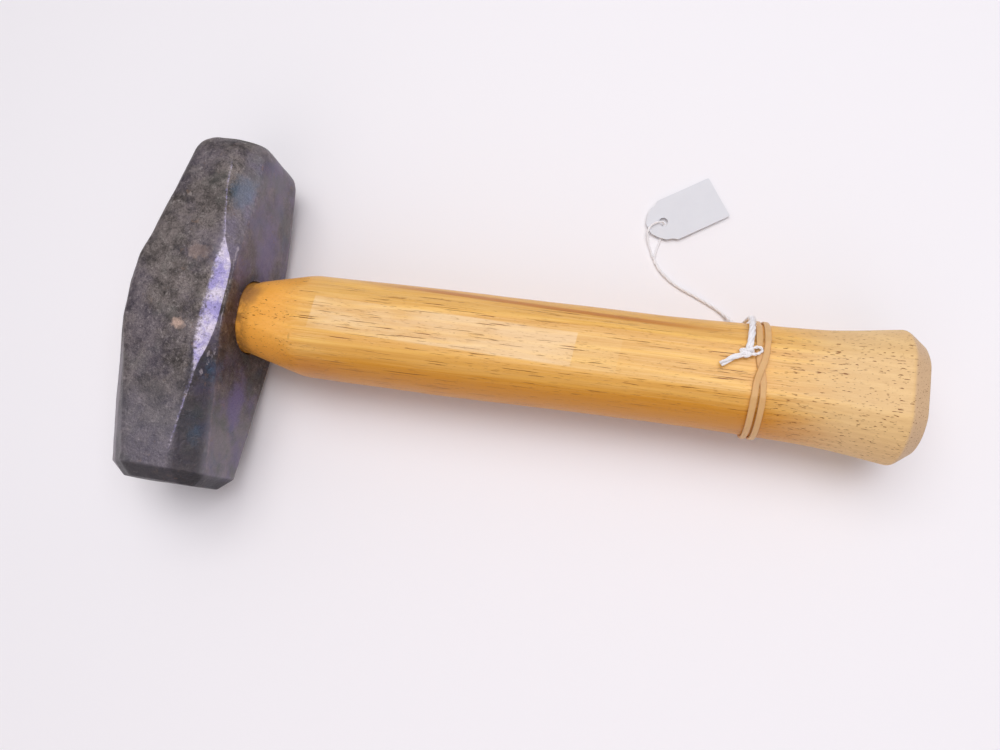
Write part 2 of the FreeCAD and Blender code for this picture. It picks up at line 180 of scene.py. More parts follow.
HITCH_ROUTE = [
    (191.6, 4.4, 41.4), (193.4, 5.6, 42.0), (195.6, 6.1, 42.3), (196.6, 5.2, 41.7),
    (195.6, 4.0, 42.2), (193.6, 3.4, 42.0), (191.8, 3.4, 41.3),
]


# ---- meshes


def new_object(name, data):
    """An object in the scene."""
    item = bpy.data.objects.new(name, data)
    bpy.context.scene.collection.objects.link(item)
    return item


def make_object(name, points, faces, material, body="hammer", sharp=math.radians(40)):
    """A smooth-shaded mesh piece from points in millimetres, riding on a body."""
    mesh = bpy.data.meshes.new(name)
    mesh.from_pydata([tuple(np.asarray(point) * MM) for point in points], [], faces)
    mesh.validate()
    kit = bmesh.new()
    kit.from_mesh(mesh)
    bmesh.ops.recalc_face_normals(kit, faces=kit.faces)
    kit.to_mesh(mesh)
    kit.free()
    mesh.shade_smooth()
    mesh.set_sharp_from_angle(angle=sharp)
    mesh.materials.append(material)
    piece = new_object(name, mesh)
    if body:
        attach(piece, body)
    return piece


def skin(rings, closed=False):
    """Points and faces of a skin over rings that all have the same number of points."""
    count = len(rings[0])
    points = [point for ring in rings for point in ring]
    faces = []
    steps = len(rings) if closed else len(rings) - 1
    for row in range(steps):
        here = row * count
        there = (row + 1) % len(rings) * count
        for column in range(count):
            across = (column + 1) % count
            faces.append((here + column, here + across, there + across, there + column))
    if not closed:
        for start, turn in ((0, -1), ((len(rings) - 1) * count, 1)):
            centre = len(points)
            points.append(np.mean(points[start : start + count], axis=0))
            for column in range(count):
                pair = (start + column, start + (column + 1) % count)
                faces.append((*pair[::turn], centre))
    return points, faces


def unit(vector):
    """The vector at length one."""
    return vector / np.linalg.norm(vector)


def distances_along(line):
    """How far each point of a line is from its first point, along the line."""
    return np.concatenate([[0.0], np.cumsum(np.linalg.norm(np.diff(line, axis=0), axis=1))])


def sampled(line, marks, places):
    """Points of a line at these places, where marks are the places of the points that it has."""
    return np.stack([np.interp(places, marks, column) for column in np.array(line).T], axis=1)


def rounded_corner(before, corner, after, radius, steps):
    """Points of the arc that rounds one corner of a flat outline, with at most this radius."""
    back = before - corner
    forth = after - corner
    reach = 0.45 * min(np.linalg.norm(back), np.linalg.norm(forth))
    back, forth = unit(back), unit(forth)
    half_turn = (math.pi - math.acos(np.clip(back @ forth, -1, 1))) / 2
    trim = min(reach, radius * math.tan(half_turn))
    arc_radius = trim / math.tan(half_turn)
    centre = corner + unit(back + forth) * arc_radius / math.cos(half_turn)
    first = corner + back * trim - centre
    last = corner + forth * trim - centre
    return [
        centre
        + (first * math.sin((1 - share) * 2 * half_turn) + last * math.sin(share * 2 * half_turn))
        / math.sin(2 * half_turn)
        for share in np.linspace(0, 1, steps)
    ]


def eased_outline(corners, steps, softness):
    """A closed flat outline with its corners eased, and this many points from each corner to the next."""
    corners = np.array(corners, float)
    loop = np.vstack([corners, corners[:1]])
    marks = distances_along(loop)
    fine = 900
    places = np.arange(fine) / fine * marks[-1]
    dense = sampled(loop, marks, places)
    reach = int(math.ceil(3 * softness / marks[-1] * fine))
    shifts = np.arange(-reach, reach + 1)
    weights = np.exp(-((shifts * marks[-1] / fine / softness) ** 2) / 2)
    rolled = [weight * np.roll(dense, shift, axis=0) for shift, weight in zip(shifts, weights)]
    eased = sum(rolled) / weights.sum()
    wrapped = np.vstack([eased, eased[:1]])
    places = np.append(places, marks[-1])
    spans = zip(marks, marks[1:], steps)
    picks = np.concatenate([np.linspace(*span, endpoint=False) for span in spans])
    return sampled(wrapped, places, picks)


def oval(half_width, half_height, half_flat, count):
    """Points of an oval with a flat at its top and bottom, evenly spaced round it, starting at its side."""
    radius = ((half_width - half_flat) ** 2 + half_height**2) / (2 * (half_width - half_flat))
    centre = half_width - radius
    spread = math.atan2(half_height, half_flat - centre)
    turns = np.linspace(-spread, spread, 60)
    side = [(centre + radius * math.cos(turn), radius * math.sin(turn)) for turn in turns]
    outline = np.array(side + [(-across, -up) for across, up in side] + [side[0]])
    marks = distances_along(outline)
    return sampled(outline, marks, (np.arange(count) / count * marks[-1] + marks[30]) % marks[-1])


def soften(outline, passes):
    """A closed outline whose creases are eased by averaging each point with its neighbours."""
    for _ in range(passes):
        outline = outline / 2 + (np.roll(outline, 1, axis=0) + np.roll(outline, -1, axis=0)) / 4
    return outline


def warp(points, size, amount, seed):
    """Points moved by smooth noise of one size, for surfaces worked by hand."""
    shift = Vector((seed * 17.3, seed * 5.1, seed * 9.7))
    moves = [amount * np.array(noise.noise_vector(Vector(point) / size + shift)) for point in points]
    return [np.asarray(point) + move for point, move in zip(points, moves)]


def cut(piece, cutter):
    """Cuts one mesh out of another, and removes it."""
    modifier = piece.modifiers.new("cut", "BOOLEAN")
    modifier.object = cutter
    modifier.solver = "EXACT"
    graph = bpy.context.evaluated_depsgraph_get()
    mesh = bpy.data.meshes.new_from_object(piece.evaluated_get(graph))
    piece.modifiers.clear()
    piece.data = mesh
    bpy.data.objects.remove(cutter)


# ---- materials


class Finish:
    """A material's node tree, with one short call for each kind of node it needs."""

    def __init__(self, name):
        self.material = bpy.data.materials.new(name)
        self.material.use_nodes = True
        self.tree = self.material.node_tree
        self.shader = self.tree.nodes["Principled BSDF"]
        self.place = self.add("ShaderNodeTexCoord").outputs["Object"]
        self.mm = self.scaled((1000, 1000, 1000))
        parts = self.add("ShaderNodeSeparateXYZ")
        self.set(parts.inputs[0], self.mm)
        self.x, self.y, self.z = parts.outputs
        self.colour = None

    def add(self, kind, **properties):
        """A new node of one kind."""
        node = self.tree.nodes.new(kind)
        for key, value in properties.items():
            setattr(node, key, value)
        return node

    def set(self, socket, value):
        """Gives a socket a value, or links a node's output to it."""
        if isinstance(value, bpy.types.NodeSocket):
            self.tree.links.new(value, socket)
        else:
            socket.default_value = value

    def fill(self, node, **sockets):
        """Gives these values or nodes to a node's sockets of those names."""
        for name, value in sockets.items():
            self.set(node.inputs[name.replace("_", " ")], value)

    def scaled(self, scale, source=None):
        """A place multiplied by a scale on each axis."""
        node = self.add("ShaderNodeVectorMath", operation="MULTIPLY")
        self.set(node.inputs[0], source or self.place)
        self.set(node.inputs[1], scale)
        return node.outputs[0]

    def math(self, operation, *values):
        """The result of one sum on values or nodes."""
        node = self.add("ShaderNodeMath", operation=operation)
        for socket, value in zip(node.inputs, values):
            self.set(socket, value)
        return node.outputs[0]

    def times(self, first, second):
        """The product of two values or nodes."""
        return self.math("MULTIPLY", first, second)

    def line(self, value, slope, start):
        """The value multiplied by a slope, plus a start."""
        return self.math("MULTIPLY_ADD", value, slope, start)

    def noise(self, scale, detail, roughness, seed, distortion=0.0):
        """Noise whose scale is features per millimetre, or a triple of them."""
        triple = scale if isinstance(scale, tuple) else (scale,) * 3
        node = self.add("ShaderNodeTexNoise", noise_dimensions="4D")
        self.fill(node, Vector=self.scaled(triple, self.mm), W=seed, Scale=1.0)
        self.fill(node, Detail=detail, Roughness=roughness, Distortion=distortion)
        return node.outputs["Fac"]

    def cells(self, scale):
        """Distance to the nearest cell's centre, for cells of this many per millimetre."""
        node = self.add("ShaderNodeTexVoronoi", feature="F1")
        self.fill(node, Vector=self.scaled((scale,) * 3, self.mm), Scale=1.0)
        return node.outputs["Distance"]

    def between(self, value, low, high):
        """0 below low and 1 above high, and the other way round where low is above high."""
        node = self.add("ShaderNodeMapRange", interpolation_type="SMOOTHSTEP")
        first, last, start, end = (low, high, 0.0, 1.0) if low < high else (high, low, 1.0, 0.0)
        self.fill(node, Value=value, From_Min=first, From_Max=last, To_Min=start, To_Max=end)
        return node.outputs["Result"]

    def spots(self, scale, detail, roughness, seed, low, high):
        """Noise as spots: 0 where it is below low and 1 where it is above high, or the other way round."""
        return self.between(self.noise(scale, detail, roughness, seed), low, high)

    def window(self, value, low, high, edge):
        """1 between low and high, falling to 0 over a soft edge outside them."""
        rising = self.between(value, low - edge, low)
        falling = self.between(value, high + edge, high)
        return self.times(rising, falling)

    def patch(self, place, reach, ragged, seed, stretch=(1.0, 1.0, 1.0)):
        """1 round one place in millimetres, falling to 0 at this reach from it, with a ragged edge."""
        node = self.add("ShaderNodeVectorMath", operation="DISTANCE")
        self.set(node.inputs[0], self.scaled(stretch, self.mm))
        self.set(node.inputs[1], tuple(value * share for value, share in zip(place, stretch)))
        spread = self.line(self.noise(0.30, 5, 0.7, seed=seed), -2 * ragged, 1 + ragged)
        away = self.math("DIVIDE", node.outputs["Value"], self.times(spread, reach))
        return self.between(away, 1.0, 0.35)

    def mix(self, factor, first, second):
        """The first colour, blended towards the second by a factor."""
        node = self.add("ShaderNodeMix", data_type="RGBA")
        self.set(node.inputs[0], factor)
        for socket, value in ((node.inputs[6], first), (node.inputs[7], second)):
            self.set(socket, (*value, 1.0) if isinstance(value, tuple) else value)
        return node.outputs[2]

    def tint(self, mask, strength, tint):
        """Blends the material's colour towards a tint by a mask times a strength."""
        self.colour = self.mix(self.times(mask, strength), self.colour, tint)

    def bump(self, height, distance, normal=None):
        """A bump of height 0 to 1, whose full height is this distance in millimetres."""
        node = self.add("ShaderNodeBump")
        self.fill(node, Strength=1.0, Distance=distance * MM, Height=height)
        if normal is not None:
            self.fill(node, Normal=normal)
        return node.outputs[0]

    def finish(self, **sockets):
        """The material, with its colour and these values or nodes on its shader's sockets."""
        self.fill(self.shader, Base_Color=self.colour, **sockets)
        return self.material


def forged_steel():
    """Forged steel under a dark patina, violet and blue on the handle's side, rubbed bright on a facet
    under a painted highlight, with painted shade on some facets and round the handle and a painted
    reflection on the far chamfers.
    """
    f = Finish("forged_steel")
    broad = f.noise(0.05, 4, 0.6, seed=1.0)
    blotch = f.noise(0.16, 7, 0.72, seed=2.0)
    speck = f.noise(0.55, 6, 0.75, seed=3.0)
    grit = f.noise(1.5, 3, 0.65, seed=4.0)
    f.colour = f.mix(f.between(blotch, 0.34, 0.66), (0.062, 0.052, 0.048), (0.250, 0.212, 0.200))
    f.tint(f.between(speck, 0.52, 0.66), 0.55, (0.46, 0.41, 0.39))
    f.tint(f.between(speck, 0.46, 0.34), 0.65, (0.026, 0.022, 0.023))
    f.tint(f.between(grit, 0.52, 0.36), 0.50, (0.030, 0.025, 0.026))
    # greenish, lilac and violet films, faint on the cheek and strong on the handle's side, with painted
    # shade and a painted reflection on some facets
    side = f.between(f.x, 9.0, 17.5)
    near_end = f.between(f.y, -22.0, -46.0)
    f.tint(near_end, 0.40, (0.270, 0.255, 0.300))
    near_side = f.times(near_end, f.between(f.x, 16.5, 18.5))
    f.tint(near_side, 0.50, (0.300, 0.285, 0.310))
    violet = f.spots(0.05, 4, 0.65, 7.0, 0.42, 0.62)
    f.tint(violet, f.line(side, 0.50, 0.14), (0.200, 0.165, 0.300))
    green = f.spots(0.08, 4, 0.65, 8.0, 0.50, 0.64)
    f.tint(green, f.line(side, 0.34, 0.16), (0.135, 0.155, 0.135))
    blue = f.spots(0.10, 4, 0.6, 9.0, 0.52, 0.68)
    f.tint(blue, f.times(side, 0.35), (0.060, 0.115, 0.20))
    # painted shade: the lower chamfer, facing away from the light, is darkened
    lower_chamfer = f.times(f.window(f.x, 12.0, 17.5, 2.0), f.between(f.y, -8.0, -20.0))
    f.tint(lower_chamfer, 0.55, (0.040, 0.036, 0.040))
    for place, reach, strength in (
        ((13.0, 40.0, 41.0), 6.0, 0.50),
        ((15.6, -23.0, 40.5), 4.6, 0.60),
        ((14.9, -34.0, 39.0), 3.0, 0.30),
        ((14.0, -45.0, 37.5), 4.6, 0.42),
    ):
        f.tint(f.patch(place, reach, 0.95, 10.0, (1.0, 0.62, 1.0)), strength, (0.060, 0.140, 0.230))
    for place, reach in (((18.9, 24.0, 24.0), 10.0), ((19.2, -33.0, 24.0), 7.0)):
        f.tint(f.patch(place, reach, 0.95, 11.0, (1.0, 0.6, 1.0)), 0.40, (0.230, 0.190, 0.440))
    # painted shade and a painted dark reflection on the near face's bevel
    near_bevel = f.between(f.y, -58.6, -59.6)
    f.tint(near_bevel, 0.62, (0.030, 0.027, 0.030))
    # painted reflection: the chamfers and side on the far half are lightened, as if catching a light from
    # above and the right
    far_chamfer = f.times(f.between(f.y, 8.0, 24.0), f.between(f.x, 10.5, 13.0))
    f.tint(far_chamfer, 0.34, (0.290, 0.260, 0.300))
    poll_edge = f.times(f.between(f.x, -13.0, -15.5), f.between(f.y, -14.0, -26.0))
    f.tint(poll_edge, 0.55, (0.52, 0.48, 0.52))
    # rust specks on the cheek, and painted shade in the corner round the handle
    rust = f.spots(0.20, 6, 0.8, 12.0, 0.58, 0.68)
    f.tint(rust, 0.45, (0.30, 0.185, 0.125))
    for place, reach, strength in (((4.4, -10.6, 47.5), 2.6, 0.75), ((5.0, 16.0, 47.5), 4.5, 0.22)):
        fleck = f.patch(place, reach, 1.60, 13.0, stretch=(0.8, 1.2, 1.0))
        f.tint(fleck, strength, (0.66, 0.47, 0.38))
    corner_shade = f.patch((22.0, 0.0, 24.0), 21.0, 0.12, 14.0)
    f.tint(corner_shade, 0.88, (0.012, 0.012, 0.016))
    # scratches and scuffs, mostly across the head
    scuff = f.between(f.noise((0.20, 0.85, 0.85), 6, 0.8, seed=15.0, distortion=0.6), 0.60, 0.68)
    scuff = f.times(scuff, f.spots(0.06, 2, 0.5, 16.0, 0.42, 0.60))
    f.tint(scuff, 0.45, (0.48, 0.42, 0.40))
    # the corner facet by the eye and the ridges that run on from it are rubbed bright, with a painted lilac
    # highlight on them
    facet = f.add("ShaderNodeAttribute", attribute_name="rubbed_and_highlight").outputs["Fac"]
    ragged = f.line(f.noise(0.9, 6, 0.75, seed=17.0), 1.9, -0.42)
    facet = f.between(f.times(facet, ragged), 0.14, 0.46)
    lilac = f.mix(f.between(blotch, 0.40, 0.60), (0.33, 0.29, 0.55), (0.60, 0.54, 0.64))
    f.tint(facet, 0.92, lilac)
    edges = f.add("ShaderNodeNewGeometry").outputs["Pointiness"]
    worn = f.times(f.between(edges, 0.512, 0.55), f.between(speck, 0.40, 0.62))
    f.tint(worn, 0.6, (0.62, 0.55, 0.60))
    rough = f.line(speck, 0.35, 0.34)
    rough = f.math("SUBTRACT", rough, f.times(facet, 0.16))
    pits = f.between(f.cells(0.45), 0.08, 0.34)
    normal = f.bump(broad, 0.30)
    normal = f.bump(speck, 0.42, normal)
    normal = f.bump(pits, 0.10, normal)
    normal = f.bump(grit, 0.10, normal)
    return f.finish(Metallic=0.72, Roughness=rough, Normal=normal)


def wedge_steel():
    """Plain steel, hammered over at its head."""
    f = Finish("wedge_steel")
    speck = f.noise(1.1, 4, 0.6, seed=21.0)
    f.colour = f.mix(f.between(speck, 0.4, 0.65), (0.10, 0.09, 0.09), (0.32, 0.30, 0.29))
    rough = f.line(speck, 0.3, 0.3)
    return f.finish(Metallic=0.9, Roughness=rough, Normal=f.bump(speck, 0.12))


def wedge_wood():
    """Bare hardwood seen on its end grain."""
    f = Finish("wedge_wood")
    rings = f.noise((0.5, 2.6, 1.2), 3, 0.6, seed=31.0)
    pores = f.spots((0.6, 5.0, 5.0), 2, 0.5, 32.0, 0.36, 0.30)
    f.colour = f.mix(rings, (0.34, 0.19, 0.085), (0.52, 0.33, 0.17))
    f.tint(pores, 0.7, (0.10, 0.05, 0.025))
    return f.finish(Roughness=0.75, Normal=f.bump(rings, 0.1))


def hickory():
    """Open-pored hickory under honey-coloured lacquer, bare and paler towards the butt."""
    f = Finish("hickory")
    sway = f.noise((0.010, 0.05, 0.05), 2, 0.5, seed=41.0)
    pith_y = f.math("ADD", f.y, 46.0)
    pith_z = f.math("ADD", f.z, 6.0)
    squares = f.math("ADD", f.math("POWER", pith_y, 2.0), f.math("POWER", pith_z, 2.0))
    ring = f.math("FRACT", f.math("ADD", f.times(f.math("SQRT", squares), 0.36), f.times(sway, 3.4)))
    early = f.between(f.math("ABSOLUTE", f.math("SUBTRACT", ring, 0.5)), 0.46, 0.20)
    fibre = f.noise((0.030, 2.4, 2.4), 5, 0.65, seed=42.0)
    streak = f.noise((0.010, 0.32, 0.32), 3, 0.55, seed=43.0)
    lean = f.between(f.z, 39.0, 33.5)
    upper_side = f.times(lean, f.between(f.y, 0.0, 6.0))
    lower_side = f.times(lean, f.between(f.y, 0.0, -6.0))
    f.colour = f.mix(f.between(streak, 0.30, 0.70), (0.74, 0.345, 0.040), (0.92, 0.540, 0.112))
    f.tint(early, 0.42, (0.52, 0.205, 0.030))
    f.tint(f.between(fibre, 0.42, 0.66), 0.42, (0.97, 0.66, 0.27))
    f.tint(f.between(fibre, 0.42, 0.30), 0.45, (0.50, 0.195, 0.028))
    # painted shade darkens the lower side, the upper side is more orange, and a darker streak runs beside
    # the flat
    f.tint(lower_side, 0.85, (0.57, 0.200, 0.011))
    f.tint(upper_side, 0.55, (0.80, 0.405, 0.036))
    rising = f.line(f.x, 0.038, f.y)
    rising = f.line(streak, 1.6, rising)
    upper_streak = f.times(f.window(rising, 18.3, 19.2, 0.9), f.between(f.z, 26.0, 30.0))
    upper_streak = f.times(upper_streak, f.window(f.x, 96.0, 152.0, 46.0))
    f.tint(upper_streak, 0.85, (0.50, 0.165, 0.010))
    # the flat on top carries a painted highlight and is bleached where a paper label once sat, with a
    # fainter second band beside it and painted shade just below the label
    flat = f.between(f.z, 37.0, 38.6)
    slant = f.line(f.y, -0.10, f.x)
    skew = f.line(f.x, 0.0256, f.y)
    across = f.window(skew, -3.1, 7.8, 0.6)
    # painted shade: darker just below the label, where the top's highlight ends
    below = f.times(f.between(skew, -3.2, -4.2), f.window(f.x, 66.0, 196.0, 22.0))
    f.tint(below, 0.50, (0.68, 0.290, 0.018))
    label = f.times(across, f.window(slant, 47.5, 138.5, 0.5))
    band = f.times(across, f.window(slant, 139.0, 153.0, 0.7))
    patchy = f.spots((0.03, 0.16, 0.16), 4, 0.6, 44.0, 0.30, 0.62)
    # painted highlight: the whole top flat is lightened
    f.tint(flat, 0.22, (0.93, 0.60, 0.22))
    f.tint(label, f.line(patchy, 0.36, 0.12), (0.95, 0.75, 0.49))
    glue = f.times(label, f.spots((0.10, 0.5, 0.5), 5, 0.7, 51.0, 0.58, 0.68))
    glue = f.times(glue, f.between(f.y, -2.0, 3.0))
    f.tint(glue, 0.5, (0.60, 0.29, 0.085))
    f.tint(band, 0.12, (0.95, 0.72, 0.36))
    # the neck is more orange, darker in patches where it meets the head, and stained beside them
    neck = f.between(f.x, 50.0, 30.0)
    f.tint(neck, 0.75, (1.0, 0.450, 0.075))
    neck_dark_patches = f.spots(0.30, 5, 0.7, 45.0, 0.36, 0.60)
    neck_dark_patches = f.times(f.between(f.x, 25.0, 19.0), neck_dark_patches)
    f.tint(neck_dark_patches, 0.60, (0.16, 0.070, 0.026))
    stain = f.patch((20.5, 5.6, 34.0), 6.5, 0.5, 52.0, stretch=(0.7, 1.2, 1.0))
    f.tint(stain, 0.70, (0.36, 0.165, 0.060))
    for place, reach, stretch in (
        ((41.2, -8.0, 38.8), 1.4, (1.6, 0.7, 1.0)),
        ((60.0, 18.0, 30.0), 1.2, (0.5, 1.0, 1.0)),
        ((35.5, 7.6, 37.0), 1.1, (1.4, 0.6, 1.0)),
        ((33.6, 2.6, 37.5), 1.0, (1.4, 0.5, 1.0)),
    ):
        nick = f.patch(place, reach, 0.55, 53.0, stretch=stretch)
        f.tint(nick, 0.85, (0.16, 0.055, 0.012))
    # bare wood from the flare to the butt
    ragged = f.times(f.noise((0.05, 0.20, 0.20), 4, 0.65, seed=46.0), 22.0)
    bare = f.between(f.math("SUBTRACT", f.x, ragged), 186.0, 216.0)
    bare_colour = f.mix(fibre, (0.76, 0.500, 0.220), (0.88, 0.620, 0.315))
    bare_colour = f.mix(f.times(early, 0.14), bare_colour, (0.56, 0.315, 0.130))
    f.tint(bare, 0.88, bare_colour)
    bevel = f.between(f.x, 240.0, 241.2)
    f.tint(bevel, 0.70, (0.66, 0.455, 0.290))
    # open pores are dark dashes along the grain: long by the label, short and close together at the butt
    zone = f.spots((0.016, 0.22, 0.22), 3, 0.55, 49.0, 0.36, 0.52)
    long_dash = f.spots((0.060, 2.6, 2.6), 2.0, 0.5, 47.0, 0.362, 0.318)
    short_dash = f.spots((0.40, 3.2, 3.2), 2.0, 0.45, 48.0, 0.375, 0.330)
    crowd = f.between(f.x, 186.0, 212.0)
    weight = f.times(long_dash, f.line(crowd, -0.85, 1.0))
    weight = f.times(weight, f.line(zone, 0.75, 0.25))
    short_weight = f.times(short_dash, f.line(crowd, 0.60, 0.35))
    pores = f.math("MAXIMUM", weight, f.times(short_weight, f.math("MAXIMUM", zone, crowd)))
    f.tint(pores, 0.92, (0.24, 0.055, 0.001))
    rough = f.line(bare, 0.30, 0.30)
    rough = f.math("ADD", rough, f.times(fibre, 0.12))
    normal = f.bump(f.noise(0.10, 3, 0.5, seed=50.0), 0.25)
    normal = f.bump(f.math("SUBTRACT", 1.0, pores), 0.10, normal)
    normal = f.bump(fibre, 0.09, normal)
    lacquer = {"Coat_Weight": 0.15, "Coat_Roughness": 0.2, "Specular_IOR_Level": 0.3}
    return f.finish(Roughness=rough, Normal=normal, **lacquer)


def band_rubber():
    """Matt tan natural rubber, slightly dusty."""
    f = Finish("band_rubber")
    tone = f.noise(0.5, 3, 0.6, seed=61.0)
    grain = f.noise(6.0, 2, 0.5, seed=62.0)
    f.colour = f.mix(tone, (0.70, 0.365, 0.125), (0.82, 0.480, 0.200))
    dust = {"Subsurface_Weight": 0.12, "Sheen_Weight": 0.15}
    return f.finish(Roughness=0.55, Normal=f.bump(grain, 0.03), **dust)


def cotton():
    """White cotton, with fine fibres along its strands."""
    f = Finish("cotton")
    fluff = f.noise(5.0, 3, 0.6, seed=71.0)
    f.colour = f.mix(fluff, (0.84, 0.82, 0.83), (0.95, 0.94, 0.95))
    return f.finish(Roughness=0.9, Normal=f.bump(fluff, 0.10), Sheen_Weight=0.4)


def tag_card():
    """Smooth white card with faint fibres."""
    f = Finish("tag_card")
    fibre = f.noise(2.2, 4, 0.6, seed=81.0)
    mottle = f.noise(0.18, 3, 0.6, seed=82.0)
    f.colour = f.mix(mottle, (0.70, 0.71, 0.75), (0.76, 0.77, 0.80))
    return f.finish(Roughness=0.62, Normal=f.bump(fibre, 0.02))


# ---- head


def head_corners(reach):
    """The corners in the table at one reach, eased where one run of the forging meets the next."""
    shifts = np.linspace(-3.6, 3.6, 15)
    weights = np.exp(-((shifts / 1.8) ** 2))
    table = np.array(SECTION_CORNERS).reshape(len(SECTION_REACH), -1)
    places = np.clip(reach + shifts, SECTION_REACH[0], SECTION_REACH[-1])
    columns = [np.interp(places, SECTION_REACH, column) for column in table.T]
    return (np.array(columns) @ weights / weights.sum()).reshape(-1, 2)


def facet_wear_and_highlight(reach, count):
    """How brightly the corner facet is rubbed and painted with a highlight at one reach, for each point of
    the head's outline.
    """
    corners = head_corners(reach)
    width = np.linalg.norm(corners[1] - corners[2])
    start, steps = EDGE_STEPS[:2]
    wear_and_highlight = np.zeros(count)
    fade = np.clip((WEAR_AND_HIGHLIGHT_END - abs(reach)) / WEAR_AND_HIGHLIGHT_FADE, 0.0, 1.0)
    breadth = np.clip(width / FULL_WEAR_AND_HIGHLIGHT_WIDTH, 0.0, 1.0)
    across = 1.0 - breadth * np.linspace(0.0, 1.0, steps + 1) ** 3
    wear_and_highlight[start : start + steps + 1] = (0.42 + 0.58 * breadth) * across * fade
    return wear_and_highlight


def head_outline(reach, inset):
    """The head's section at one reach, drawn in by an inset at the bevelled faces."""
    outward = [(1.0, 0.45), (0.45, 1.0), (0.45, 1.0), (-0.45, 1.0), (-1.0, 0.45), (0.45, 1.0), (0.45, 1.0)]
    drawn_in = head_corners(reach) - np.array(outward) * inset
    upper = drawn_in[:5]
    lower = drawn_in[[4, 3, 6, 5, 0]] * (1, -1)
    corners = np.vstack([upper, lower])
    far = np.clip((reach - 34.0) / 24.0, 0.0, 1.0)
    near = np.clip((-reach - 50.0) / 12.0, 0.0, 1.0)
    return eased_outline(corners, EDGE_STEPS, 0.42 + 1.9 * far * far + 0.35 * near)


def face_profile(round_start, round_end):
    """Distance from the middle and inset of the rings that go over a face's bevel to its centre."""
    bevel_start = np.array([HALF_LENGTH - FACE_BEVEL, 0.0])
    bevel_end = np.array([HALF_LENGTH, FACE_BEVEL])
    middle = np.array([HALF_LENGTH, 14.0])
    body = np.array([HALF_LENGTH - 18.0, 0.0])
    profile = rounded_corner(body, bevel_start, bevel_end, round_start, 9)
    return profile + rounded_corner(bevel_start, bevel_end, middle, round_end, 8)


def face_rings(edge, crown):
    """Rings from a face's edge to its centre, over a slight crown, innermost first."""
    centre = edge.mean(axis=0)
    rings = []
    for share in (0.12, 0.26, 0.42, 0.58, 0.74, 0.88, 0.96):
        ring = centre + (edge - centre) * share
        ring[:, 1] += crown * (1 - share * share)
        rings.append(ring)
    return rings


def make_head(material):
    """The forging, with its ridges, crowned faces, hand-worked unevenness and the eye cut through it."""
    near = face_profile(round_start=1.0, round_end=1.2)
    far = face_profile(round_start=9.0, round_end=4.0)
    stations = [(-reach, inset) for reach, inset in near[::-1]]
    stations += [(reach, 0.0) for reach in np.linspace(-near[0][0] + 0.6, far[0][0] - 0.6, 170)]
    stations += [(reach, inset) for reach, inset in far]
    rings = []
    for reach, inset in stations:
        outline = head_outline(reach, inset)
        rings.append(np.array([(x, reach, z + AXIS_HEIGHT) for x, z in outline]))
    rings = face_rings(rings[0], -0.4) + rings + face_rings(rings[-1], 1.0)[::-1]
    points, faces = skin(rings)
    # the facet's wear and painted highlight for each ring
    worn = [facet_wear_and_highlight(ring[:, 1].mean(), len(ring)) for ring in rings]
    wear_and_highlight = np.concatenate([*worn, [0.0, 0.0]])
    for size, amount, seed in HEAD_WARPS:
        points = warp(points, size, amount, seed)
    lowest = min(point[2] for point in points)
    points = [point - UP * min(lowest, 0.0) for point in points]
    head = make_object("forged_head", points, faces, material)
    rubbed_and_highlight = head.data.attributes.new("rubbed_and_highlight", "FLOAT", "POINT")
    rubbed_and_highlight.data.foreach_set("value", wear_and_highlight)
    cut(head, eye_cutter())
    head.data.set_sharp_from_angle(angle=math.radians(50))
    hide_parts("head")


def eye_size(reach):
    """Half length, half width and half flat of the eye at one place along the handle's axis."""
    growth = EYE_TAPER * (EYE_MOUTH - reach)
    return EYE_HALF_LENGTH + growth, EYE_HALF_WIDTH + growth, EYE_HALF_FLAT + growth


def eye_cutter():
    """The eye's hollow, a hair wider than the tenon and flared at both mouths."""
    rings = []
    mouth = ((17.4, 0.12), (19.0, 1.0), (24.0, 4.5))
    for reach, flare in (*((-reach, flare) for reach, flare in mouth[::-1]), (0.0, 0.08), *mouth):
        length, width, flat = eye_size(reach)
        section = oval(length + flare, width + flare, flat, 96)
        rings.append([(reach, y, z + AXIS_HEIGHT) for y, z in section])
    points, faces = skin(rings)
    return make_object("eye_cutter", points, faces, None, body=None)


# ---- handle


def handle_size(reach):
    """Half width, half height and half flat of the handle at one place, before its creases are eased."""
    if reach <= EYE_MOUTH:
        return np.array(eye_size(reach))
    shoulder, shoulder_half = GRIP[0]
    butt, butt_half = GRIP[-1]
    end = HANDLE_HIGH[0]
    ratios = np.array([1.0, HEIGHT_RATIO, FLAT_RATIO])
    if reach < shoulder:
        share = (reach - EYE_MOUTH) / (shoulder - EYE_MOUTH)
        return np.array(eye_size(EYE_MOUTH)) * (1 - share) + shoulder_half * ratios * share
    if reach > butt:
        share = (reach - butt) / (end - butt)
        return (butt_half * (1 - share) + BUTT_END_HALF_WIDTH * share) * ratios
    reaches, halves = zip(*GRIP)
    slopes = np.gradient(halves, reaches)
    step = min(np.searchsorted(reaches, reach, side="right"), len(GRIP) - 1)
    start, stop = reaches[step - 1], reaches[step]
    span = stop - start
    share = (reach - start) / span
    half = (
        halves[step - 1] * (1 + 2 * share) * (1 - share) ** 2
        + halves[step] * share**2 * (3 - 2 * share)
        + span * (slopes[step - 1] * share * (1 - share) ** 2 - slopes[step] * share**2 * (1 - share))
    )
    return half * ratios


def softened_handle_size(reach):
    """The handle's size averaged over a short stretch, to soften its shoulder and its bevel's edge."""
    shoulder_ease = 2.6 * math.exp(-(((reach - GRIP[0][0]) / 7.0) ** 2))
    butt_ease = 0.9 * math.exp(-(((reach - GRIP[-1][0]) / 3.0) ** 2))
    spread = 0.05 + shoulder_ease + butt_ease
    shifts = np.linspace(-1.5, 1.5, 13)
    weights = np.exp(-(shifts**2))
    sizes = [handle_size(min(reach + shift * spread, HANDLE_HIGH[0])) for shift in shifts]
    return np.average(sizes, axis=0, weights=weights)


